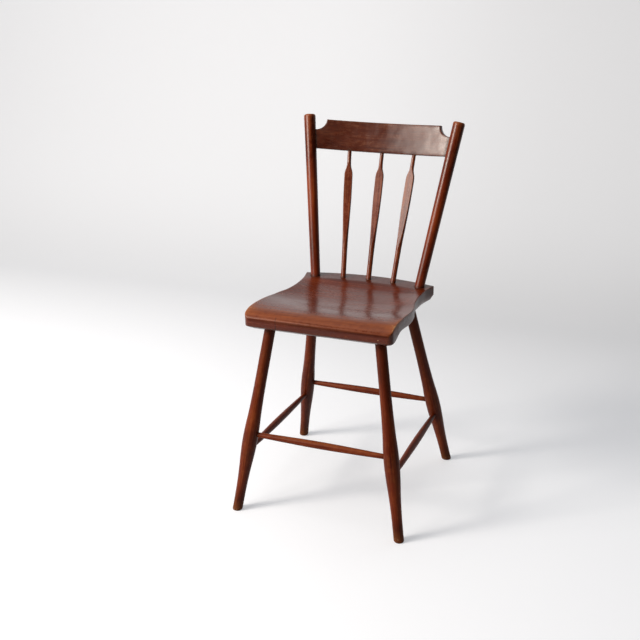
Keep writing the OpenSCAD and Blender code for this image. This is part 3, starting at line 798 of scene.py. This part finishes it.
# %% [markdown]
# ## Legs
# Each leg is thin at the foot, swells to its thickest where the stretchers enter, and thins
# again towards the plank. The foot is sawn level with the floor, so the turned blank runs past
# the floor and is cut there. Hard floors have then worn the rim of the foot round. A bevel is
# held back by the shortest edge near it, so this rim is made by a rule instead: level loops,
# each drawn in along a quarter circle. Shoes have scuffed the feet, dirt lies near the floor,
# and the legs get painted shade under the plank.

# %% The leg's outline
LEG_SPARE = 0.03                    # the blank runs this far past the floor
LEG_INTO_SEAT = 0.0015              # and a hair into the plank, so no light shows there
LEG_SWELL_R = 0.0174
REAR_SWELL_DROP = 0.02              # the rear swell sits lower, as a share of the leg
# each key is (share of the way up from the floor, share of the swell's radius)
LEG_KEYS = [(0.0, 0.66), (0.1, 0.668), (0.18, 0.72), (0.25, 0.815), (0.32, 0.935), (0.4, 1.0),
            (0.46, 0.965), (0.53, 0.865), (0.6, 0.80), (0.7, 0.75), (0.85, 0.73)]


def leg_outline(rear):
    """The turner's stick, stretched so that its foot is at the floor and its head at the plank."""
    blank_length = LEG_SPARE + BOTTOM_Z + LEG_INTO_SEAT
    lowered = [(f - (REAR_SWELL_DROP if rear and f > 0 else 0), r) for f, r in LEG_KEYS]
    from_floor = [((LEG_SPARE + f * LEG_TOP_Z) / blank_length, r) for f, r in lowered]
    return [(0.0, 0.66)] + from_floor + [(1.0, 0.71)]


leg_trees = {False: turning_tree("turned_front_leg", leg_outline(False)),
             True: turning_tree("turned_rear_leg", leg_outline(True))}

# %% Where a leg is rubbed, where it is dirty and where shade is painted
STRETCHER_Z = {"front": 0.1902, "rear": 0.1808, "side": 0.1465}    # heights of the sockets


def leg_wear(place, normal):
    """Shoes rub the foot, and the swell a little."""
    z = place[:, 2]
    foot = 0.56 * (1 - step(0.004, 0.04, z))
    swell = 0.06 * np.exp(-((z - 0.17) / 0.05) ** 2)
    return foot + swell


def leg_dirt_and_shade(place, normal):
    """Painted shade under the plank, and dirt near the floor and where the rungs go in."""
    z = place[:, 2]
    # painted shade of the plank: a dark band where the leg enters it, which also holds the joint's
    # dirt, and a long ramp from 0.22 m up
    plank_shade_and_joint_dirt = 0.55 * step(BOTTOM_Z - 0.016, BOTTOM_Z, z) + 0.34 * step(0.22, BOTTOM_Z, z)
    floor_dust = 0.62 * (1 - step(0.01, 0.07, z))
    joints = np.zeros(len(z))
    for height in STRETCHER_Z.values():
        joints = np.maximum(joints, 0.2 * np.exp(-((z - height) / 0.012) ** 2))
    return plank_shade_and_joint_dirt + floor_dust + joints


# %% The worn rim of a foot
FOOT_ROUND, FOOT_LOOPS = 0.0034, 5


def worn_foot(mesh, side, rear):
    """Level loops near the floor, each drawn in towards the leg's axis, round the foot's rim."""
    with opened(mesh) as bm:
        for height in quarter_steps(FOOT_ROUND, FOOT_LOOPS)[1:]:
            bmesh.ops.bisect_plane(bm, geom=bm.verts[:] + bm.edges[:] + bm.faces[:], dist=1e-6,
                                   plane_co=(0, 0, height), plane_no=(0, 0, 1))
        for vert in bm.verts:
            if vert.co.z < FOOT_ROUND:
                out = (vert.co - leg_axis(side, rear, vert.co.z)).normalized()
                vert.co -= out * quarter_inset(FOOT_ROUND, vert.co.z)
    return close_skin(mesh)


# %% Make the four legs
for row, rear in (("front", False), ("rear", True)):
    for label, side in (("left", LEFT), ("right", RIGHT)):
        foot = leg_axis(side, rear, -LEG_SPARE)
        head = leg_axis(side, rear, BOTTOM_Z + LEG_INTO_SEAT)
        leg = turn_piece(leg_trees[rear], foot, head, Radius=LEG_SWELL_R, Rings=100, Sides=48,
                         Grain_Shift=(3.1 * side, 1.7 * rear, 0.37 * side + rear), Finish=leg_wood)
        cut_flat(leg, (0, 0, 0.0), (0, 0, -1))
        worn_foot(leg, side, rear)
        finish_piece(leg, f"leg_{row}_{label}", leg_wood, leg_wear, leg_dirt_and_shade, edge_gain=0.5)

# %% [markdown]
# ## Stretchers
# The rungs keep the legs apart. They are thickest in the middle and run into sockets at the
# legs' swell, so only the end of each outline disappears into a leg.

# %% The stretchers' outline and ends
STRETCHER_R = 0.0085
SIDE_DROP = 0.0035                  # a side rung is this much higher in front and lower behind
STRETCHER_OUTLINE = [(0.0, 0.66), (0.09, 0.72), (0.25, 0.87), (0.5, 1.0), (0.75, 0.87),
                     (0.91, 0.72), (1.0, 0.66)]
stretcher_tree = turning_tree("turned_stretcher", STRETCHER_OUTLINE)
ends = {"stretcher_front": [leg_axis(s, False, STRETCHER_Z["front"]) for s in (LEFT, RIGHT)],
        "stretcher_rear": [leg_axis(s, True, STRETCHER_Z["rear"]) for s in (LEFT, RIGHT)]}
for label, side in (("left", LEFT), ("right", RIGHT)):
    ends["stretcher_" + label] = [leg_axis(side, False, STRETCHER_Z["side"] + SIDE_DROP),
                                  leg_axis(side, True, STRETCHER_Z["side"] - SIDE_DROP)]


# %% Where a stretcher is rubbed and where it is dirty
def stretcher_wear(is_front):
    """Shoe heels rest on the front rung and rub its top."""
    def rubbed(place, normal):
        top = step(0.2, 0.9, normal[:, 2])
        middle = 1 - np.clip(np.abs(place[:, 0]) / 0.2, 0, 1)
        return (0.3 if is_front else 0.08) * top * (0.4 + 0.6 * middle)
    return rubbed


def stretcher_grime(pair):
    """Dirt where both ends go into their legs."""
    def dirt_and_shade_rule(place, normal):
        a, b = np.array(pair[0]), np.array(pair[1])
        near = np.minimum(np.linalg.norm(place - a, axis=1), np.linalg.norm(place - b, axis=1))
        return 0.6 * (1 - step(0.014, 0.03, near))
    return dirt_and_shade_rule


# %% Make the four stretchers
for number, (node, pair) in enumerate(ends.items()):
    rung = turn_piece(stretcher_tree, pair[0], pair[1], Radius=STRETCHER_R, Rings=90, Sides=32,
                      Grain_Shift=(5.3 + number, 2.9, 0.61 * number), Finish=leg_wood)
    finish_piece(rung, node, leg_wood, stretcher_wear(node == "stretcher_front"),
                 stretcher_grime(pair), edge_gain=0.2)

# %% [markdown]
# ## Back posts
# A post is a plain taper, thicker at its top, with a softly rounded end. Hands pull the chair
# by the tops, so the stain is nearly gone there.

# %% The posts' outline, wear and dirt
POST_SPARE = 0.02                   # the blank runs this far below the deck
POST_INTO_SEAT = 0.0015
POST_TOP_R = 0.01425
POST_END_R = 0.0045                 # radius of the rounded end's rim
post_tree = turning_tree("turned_post", [(0.0, 0.8075), (0.5, 0.904), (1.0, 1.0)])


def post_wear(side):
    """Hands grip the top, and the upper post a little."""
    top = post_axis(side, BACK_H)

    def rubbed(place, normal):
        down = np.linalg.norm(place - np.array(top), axis=1)
        return 0.74 * (1 - step(0.004, 0.02, down)) + 0.12 * (1 - step(0.02, 0.12, down))
    return rubbed


def post_grime(place, normal):
    """Dirt in the corner between post and deck."""
    z = place[:, 2]
    return 0.75 * (1 - step(SEAT_H, SEAT_H + 0.008, z))


# %% Make the two posts
for label, side in (("left", LEFT), ("right", RIGHT)):
    top = post_axis(side, BACK_H)
    along = (top - post_axis(side, 0)).normalized()
    start = post_axis(side, 0) - POST_SPARE * along
    post = turn_piece(post_tree, start, top, Radius=POST_TOP_R, Rings=80, Sides=48,
                      Grain_Shift=(8.1 + side, 4.4, 0.9 * side), Finish=post_wood)
    cut_flat(post, (0, 0, SEAT_H - POST_INTO_SEAT), (0, 0, -1))
    round_edges(post, POST_END_R, 6, 40, where=lambda p: p.z > SEAT_H + 0.1)
    finish_piece(post, "back_post_" + label, post_wood, post_wear(side), post_grime, edge_gain=0.5)

# %% [markdown]
# ## Arrow spindles
# A spindle is turned like the legs, then its upper part is shaved flat front and back. The
# second curve of the tree does the shaving. What is left is the arrow: a long blade, a
# shoulder, and a thin round neck that goes into the crest.

# %% The spindles' outline, flats, wear and dirt
ARROW_R = 0.0102
SPINDLE_INTO_SEAT = 0.0015
SPINDLE_INTO_CREST = 0.002
SPINDLE_ROUND = 0.0007              # radius of the blade's edges
BLADE_Z = (SEAT_H + 0.02, 0.772)    # heights between which edges are rounded
SPINDLE_OUTLINE = [(0.0, 0.61), (0.2, 0.62), (0.32, 0.68), (0.45, 0.82), (0.6, 0.965),
                   (0.7, 1.0), (0.798, 1.0), (0.825, 0.94), (0.86, 0.66), (0.895, 0.49),
                   (0.95, 0.465), (1.0, 0.465)]
SPINDLE_FLAT = [(0.0, 0.9), (0.15, 0.78), (0.3, 0.63), (0.45, 0.51), (0.6, 0.44), (0.75, 0.40),
                (0.85, 0.41), (0.93, 0.55), (1.0, 0.68)]
spindle_tree = turning_tree("arrow_spindle", SPINDLE_OUTLINE, SPINDLE_FLAT)


def spindle_wear(place, normal):
    """Backs lean on the blades."""
    return 0.1 + 0.1 * step(0.6, 0.75, place[:, 2])


def spindle_grime(place, normal):
    """Dirt at the deck and under the crest."""
    z = place[:, 2]
    return 0.7 * (1 - step(SEAT_H, SEAT_H + 0.007, z)) + 0.3 * step(0.765, 0.777, z)


# %% Make the three spindles
for k, label in ((-1, "left"), (0, "middle"), (1, "right")):
    foot, head = spindle_ends(k)
    along = (head - foot).normalized()
    foot = foot - SPINDLE_INTO_SEAT * along
    head = head + SPINDLE_INTO_CREST * along
    yaw = -math.asin(head.x / CREST_R)
    spindle = turn_piece(spindle_tree, foot, head, yaw, Radius=ARROW_R, Rings=170, Sides=64,
                         Grain_Shift=(11.0 + k, 6.5, 0.43 * k), Finish=spindle_wood)
    round_edges(spindle, SPINDLE_ROUND, 2, 28, where=lambda p: BLADE_Z[0] < p.z < BLADE_Z[1])
    finish_piece(spindle, "arrow_spindle_" + label, spindle_wood, spindle_wear, spindle_grime,
                 edge_gain=0.7)

# %% [markdown]
# ## Crest rail
# The crest is a board bent backwards, with a quarter-round scoop cut out of each upper corner.
# Seen from the front its lower edge is straight and its upper edge is a height for every
# place along it, so it is built as columns: each column is a slice of board from the lower
# edge up to that height, moved back by the bow. Columns crowd together at the scoops, and the
# board gets thinner near its rim by the quarter circle that rounds its edges.

# %% The crest's upper edge
SCOOP_R = 0.0255
CREST_PAST_AXIS = 0.003             # the board's ends go this far past the posts' axes
SCOOP_INTO_POST = 0.0005
CREST_ROUND = 0.0018                # radius of the board's worn edges
END_COLUMN = 1.0                    # stands for the slanted end inside the post


def post_x_at(z):
    """The post axis's distance from the middle, at a height in the plane of the back."""
    return POST_X + z * POST_SLOPE


SCOOP_X = post_x_at(CREST_Z1 - SCOOP_R) - POST_TOP_R + SCOOP_INTO_POST
FLAT_TOP = SCOOP_X - SCOOP_R
print("straight part of the upper edge", round(2 * FLAT_TOP, 4), "m")


def crest_top(x):
    """Height of the upper edge in the plane of the back."""
    into = abs(x) - FLAT_TOP
    if into <= 0:
        return CREST_Z1
    if into >= SCOOP_R:
        return CREST_Z1 - SCOOP_R
    return CREST_Z1 - math.sqrt(SCOOP_R ** 2 - (SCOOP_R - into) ** 2)


def rim_distance(x, z):
    """Distance of a place on the board's face from the nearest edge, straight or scooped."""
    into_scoop = math.hypot(max(0.0, SCOOP_X - abs(x)), CREST_Z1 - z) - SCOOP_R
    return min(z - CREST_Z0, CREST_Z1 - z, into_scoop)


# %% The crest's mesh
def crest_mesh(across_flat=60, across_scoop=22, middle_rows=12):
    """The board's closed mesh: front, back, and the strips between them."""
    rounding = quarter_steps(CREST_ROUND, 4)
    half = [FLAT_TOP * k / across_flat for k in range(across_flat)]
    half += [FLAT_TOP - step_in for step_in in rounding[:0:-1]]
    half += [FLAT_TOP + step_on for step_on in quarter_steps(SCOOP_R, across_scoop)]
    half += [END_COLUMN]
    columns = [-x for x in half[:0:-1]] + half
    points = []
    for face in (-1, 1):
        for x in columns:
            ended = abs(x) == END_COLUMN
            top = CREST_Z1 - SCOOP_R if ended else crest_top(x)
            heights = [CREST_Z0 + e for e in rounding[:-1]]
            heights += list(np.linspace(CREST_Z0 + CREST_ROUND, top - CREST_ROUND, middle_rows))
            heights += [top - e for e in rounding[-2::-1]]
            for z in heights:
                px = math.copysign(post_x_at(z) + CREST_PAST_AXIS, x) if ended else x
                turn = math.asin(px / CREST_R)
                thick = CREST_T / 2 - quarter_inset(CREST_ROUND, rim_distance(px, z))
                radius = CREST_R + face * thick
                points.append(from_back(radius * math.sin(turn),
                                        CREST_BOW - CREST_R + radius * math.cos(turn), z))
    n, rows = len(columns), len(heights)
    up = rows - 1
    front = lambda i, k: i * rows + k
    back = lambda i, k: n * rows + i * rows + k
    faces = []
    for i in range(n - 1):
        for k in range(up):
            faces.append((front(i, k), front(i + 1, k), front(i + 1, k + 1), front(i, k + 1)))
            faces.append((back(i, k), back(i, k + 1), back(i + 1, k + 1), back(i + 1, k)))
        faces.append((front(i, up), front(i + 1, up), back(i + 1, up), back(i, up)))
        faces.append((front(i, 0), back(i, 0), back(i + 1, 0), front(i + 1, 0)))
    for k in range(up):
        faces.append((front(0, k), front(0, k + 1), back(0, k + 1), back(0, k)))
        faces.append((front(n - 1, k), back(n - 1, k), back(n - 1, k + 1), front(n - 1, k + 1)))
    mesh = bpy.data.meshes.new("crest_board")
    mesh.from_pydata(points, [], faces)
    return mesh


# %% Wear, dirt and painted shade on the crest
def crest_wear(place, normal):
    """Hands hold the upper edge, and the rest is rubbed a little."""
    return 0.16 * step(0.835, 0.853, place[:, 2]) + 0.05


def crest_dirt_and_shade(place, normal):
    """Painted shade at the left end, and dirt round the posts and the spindle necks."""
    dirt_and_shade_amount = 0.42 * (1 - step(-0.2, 0.0, place[:, 0]))     # painted shade: the left end is darker
    for side in (LEFT, RIGHT):
        away = near_line(place, post_axis(side, 0), post_axis(side, BACK_H))
        dirt_and_shade_amount = np.maximum(dirt_and_shade_amount, 0.7 * (1 - step(POST_TOP_R, POST_TOP_R + 0.008, away)))
    for k in (-1, 0, 1):
        away = np.linalg.norm(place - np.array(spindle_ends(k)[1]), axis=1)
        dirt_and_shade_amount = np.maximum(dirt_and_shade_amount, 0.5 * (1 - step(0.006, 0.013, away)))
    return dirt_and_shade_amount


crest = close_skin(crest_mesh())
store_grain(crest, 0, (2.0, 0.3, 7.0))
finish_piece(crest, "crest_rail", board_wood, crest_wear, crest_dirt_and_shade, edge_gain=0.45)

# %% [markdown]
# ## Plank seat
# The seat was sawn from one thick plank, then shaped with a drawknife and a scorp until it fits
# the sitter. A sculpted block could give that, but its lines would wander. Each rule below is
# one of the maker's cuts instead: the plan with its waist, the flat deck, the dished saddle,
# the rolled front that ends in a crease, and the bevel underneath. They are the same rules as
# the solid's, on a finer grid. The mesh is one closed skin over that grid, with rows across the
# seat and columns from front to back, and its rims are then rounded.

# %% The plank's cuts
ROLL_RUN, CREASE_DROP, LIP_BACK = 0.040, 0.005, 0.0025      # the rolled front and its lip
FRONT_RIM_IN, REAR_BASE_IN, CORNER_R = 0.022, 0.007, 0.011
BOW_START, EDGE_FLAT = 0.62, 0.64      # where the rear bow begins and the raised edge has ended
DECK_SHARE = 1 - DECK_D / SEAT_D
# Each key is (share of the depth from the front, value). In turn: half the width, the rise of
# the side edge, the depth of the saddle, the height of the side wall, and how far the bevel
# under it goes in.
PLAN_KEYS = [(0, .995), (.2, 1), (.4, .992), (.52, .965), (.61, .918), (.72, .895), (.81, .899),
             (.89, .913), (1, .962)]
EDGE_KEYS = [(0, 1), (.11, 1), (.17, .98), (.3, .72), (.45, .22), (.56, .03), (EDGE_FLAT, 0),
             (1, 0)]
DISH_KEYS = [(0, 0), (.11, .3), (.22, .5), (.4, .95), (.55, 1), (.7, .93), (DECK_SHARE - .09, .72),
             (DECK_SHARE - .045, .36), (DECK_SHARE, 0), (1, 0)]
RIM_KEYS = [(0, .023), (.06, .0225), (.17, .013), (.27, .0155), (.42, .022), (.6, .022), (1, .0215)]
COVE_KEYS = [(0, .008), (.06, .010), (.17, .022), (.28, .019), (.42, .009), (.55, .007), (1, .007)]
print("deck begins at", round(DECK_SHARE, 3), "of the depth")


# %% The rules that read them
def curve(keys, t):
    """Smooth curve through the keys, the same rule as the solid's."""
    i = 0
    while i < len(keys) - 2 and t >= keys[i + 1][0]:
        i += 1

    def slope(j):
        a, b = max(j - 1, 0), min(j + 1, len(keys) - 1)
        return (keys[b][1] - keys[a][1]) / (keys[b][0] - keys[a][0])
    run = keys[i + 1][0] - keys[i][0]
    s = (t - keys[i][0]) / run
    return ((2 * s ** 3 - 3 * s ** 2 + 1) * keys[i][1] + (s ** 3 - 2 * s ** 2 + s) * slope(i) * run
            + (3 * s ** 2 - 2 * s ** 3) * keys[i + 1][1] + (s ** 3 - s ** 2) * slope(i + 1) * run)


def share_of(y):
    """Share of the plank's depth, 0 at the front."""
    return (y - FRONT_Y) / SEAT_D


def half_at(y):
    """Half the plank's width at y, less the rounded front corner."""
    cut = CORNER_R - math.sqrt(max(0, CORNER_R ** 2 - max(0, CORNER_R - (y - FRONT_Y)) ** 2))
    return HALF_W * curve(PLAN_KEYS, share_of(y)) - cut


def top_z(u, y):
    """Height of the upper face, u going from -1 at the left side to 1 at the right."""
    v = share_of(y)
    edge = 0 if v >= EDGE_FLAT else ROLL_RISE * max(0, curve(EDGE_KEYS, v))
    run = (FRONT_Y + ROLL_RUN - y) / ROLL_RUN
    roll = 0 if run <= 0 else (ROLL_RISE + CREASE_DROP) * (1 - math.sqrt(max(0, 1 - run ** 2)))
    dish = 0 if v >= DECK_SHARE else DISH * max(0, curve(DISH_KEYS, v))
    return SEAT_H + edge - roll - dish * (1 - abs(u) ** 3)


# %% The plank's mesh
PLANK_ROUND = 0.0016                # radius of the plank's worn edges


def between(a, b, t):
    """The point a share t of the way from a to b."""
    return tuple(p + (q - p) * t for p, q in zip(a, b))


def plank_mesh(roll_rows=16, body_rows=110, columns=90):
    """Top grid, side wall, bevel and underside as one closed mesh."""
    turns = [math.pi / 2 * (1 - k / roll_rows) for k in range(roll_rows)]
    rows = [FRONT_Y + ROLL_RUN * (1 - math.sin(turn)) for turn in turns]
    rows += [FRONT_Y + ROLL_RUN + (SEAT_D - ROLL_RUN) * k / body_rows for k in range(body_rows + 1)]
    wide = columns + 1

    def top_point(i, j):
        u, y = 2 * j / columns - 1, rows[i]
        bow = REAR_BOW * max(0, share_of(y) - BOW_START) / (1 - BOW_START)
        return (u * half_at(y), y + bow * (1 - u * u), top_z(u, y))

    points = [top_point(i, j) for i in range(len(rows)) for j in range(wide)]
    faces = [(i * wide + j, i * wide + j + 1, (i + 1) * wide + j + 1, (i + 1) * wide + j)
             for i in range(len(rows) - 1) for j in range(columns)]
    last = len(rows) - 1
    outline = ([(0, j) for j in range(columns)] + [(i, columns) for i in range(last)]
               + [(last, j) for j in range(columns, 0, -1)] + [(i, 0) for i in range(last, 0, -1)])
    ring = [i * wide + j for i, j in outline]

    def rim_point(i, j):
        x, y, _ = top_point(i, j)
        lean = max(0, 1 - (rows[i] - FRONT_Y) / FRONT_RIM_IN)
        return (x, y + LIP_BACK * lean, SEAT_H - curve(RIM_KEYS, share_of(rows[i])))

    def base_point(i, j):
        x, y, _ = top_point(i, j)
        v = share_of(rows[i])
        return (x * (1 - curve(COVE_KEYS, v) / HALF_W),
                y + FRONT_RIM_IN * (1 - v) - REAR_BASE_IN * v, BOTTOM_Z)

    # below the top's rim: the side wall, the bevel, and rings that shrink over the underside
    tops = [points[k] for k in ring]
    rims = [rim_point(i, j) for i, j in outline]
    bases = [base_point(i, j) for i, j in outline]
    layers = [[between(a, b, t) for a, b in zip(tops, rims)] for t in (1 / 3, 2 / 3, 1.0)]
    layers += [[between(a, b, t) for a, b in zip(rims, bases)] for t in (0.5, 1.0)]
    layers += [[(x * t, y * t, BOTTOM_Z) for x, y, _ in bases] for t in (0.85, 0.6, 0.3)]
    for layer in layers:
        start = len(points)
        points += layer
        below = list(range(start, start + len(ring)))
        faces += [(ring[k], below[k], below[(k + 1) % len(ring)], ring[(k + 1) % len(ring)])
                  for k in range(len(ring))]
        ring = below
    points.append((0, 0, BOTTOM_Z))
    faces += [(ring[k], len(points) - 1, ring[(k + 1) % len(ring)]) for k in range(len(ring))]
    mesh = bpy.data.meshes.new("plank")
    mesh.from_pydata(points, [], faces)
    return mesh


plank = plank_mesh()
round_edges(plank, PLANK_ROUND, 3, 38)
print("plank", len(plank.polygons), "faces")

# %% Wear, dirt and painted shade on the plank
POST_FOOT_R, SPINDLE_FOOT_R = 0.0115, 0.0063
sockets = [(post_axis(side, 0), POST_FOOT_R) for side in (LEFT, RIGHT)]
sockets += [(spindle_ends(k)[0], SPINDLE_FOOT_R) for k in (-1, 0, 1)]


def seat_wear(place, normal):
    """Thighs and hems rub the rolled front, its two corners and the sides."""
    x, y, z = place.T
    roll = np.exp(-((y - (FRONT_Y + 0.024)) / 0.03) ** 2) * step(SEAT_H - 0.008, SEAT_H, z)
    corner = 0.25 * step(0.13, 0.17, np.abs(x)) * (1 - step(FRONT_Y + 0.02, FRONT_Y + 0.12, y))
    sides = 0.2 * step(0.93, 1.0, np.abs(x) / HALF_W) * step(SEAT_H - 0.004, SEAT_H + 0.01, z)
    return 0.42 * roll + corner * step(SEAT_H, SEAT_H + 0.012, z) + sides


def seat_dirt_and_shade(place, normal):
    """Painted shade below, in the crease, on the lip and the flanks, a darker deck, and dirt round
    the sockets.
    """
    # painted shade on faces that turn downwards
    dirt_and_shade_amount = 0.4 * (1 - step(-0.6, -0.1, normal[:, 2]))
    # painted shade in the crease below the roll
    crease = (np.exp(-((place[:, 2] - (SEAT_H - CREASE_DROP)) / 0.0018) ** 2)
              * (1 - step(FRONT_Y + 0.002, FRONT_Y + 0.006, place[:, 1])))
    dirt_and_shade_amount = np.maximum(dirt_and_shade_amount, 0.55 * crease)
    # the deck is darker, and the lower lip of the front gets painted shade
    deck = (step(CORNER_Y - DECK_D, CORNER_Y - 0.8 * DECK_D, place[:, 1])
            * step(0.5, 0.9, normal[:, 2]))
    # painted shade on the lower lip of the front
    lip = ((1 - step(SEAT_H - 0.023, SEAT_H - 0.015, place[:, 2]))
           * (1 - step(FRONT_Y + 0.006, FRONT_Y + 0.02, place[:, 1])))
    # painted shade on faces that turn to either side
    flank = step(0.6, 0.9, np.abs(normal[:, 0]))
    dirt_and_shade_amount = np.maximum(dirt_and_shade_amount, 0.36 * np.maximum(np.maximum(deck, lip), flank))
    for point, radius in sockets:
        away = np.linalg.norm(place[:, :2] - np.array(point)[:2], axis=1)
        above = step(SEAT_H - 0.01, SEAT_H - 0.002, place[:, 2])
        dirt_and_shade_amount = np.maximum(dirt_and_shade_amount, 0.85 * above * (1 - step(radius, radius + 0.006, away)))
    return dirt_and_shade_amount


store_grain(plank, 0, (0.0, 3.3, 1.0))
finish_piece(plank, "seat_plank", plank_wood, seat_wear, seat_dirt_and_shade, edge_gain=0.6)
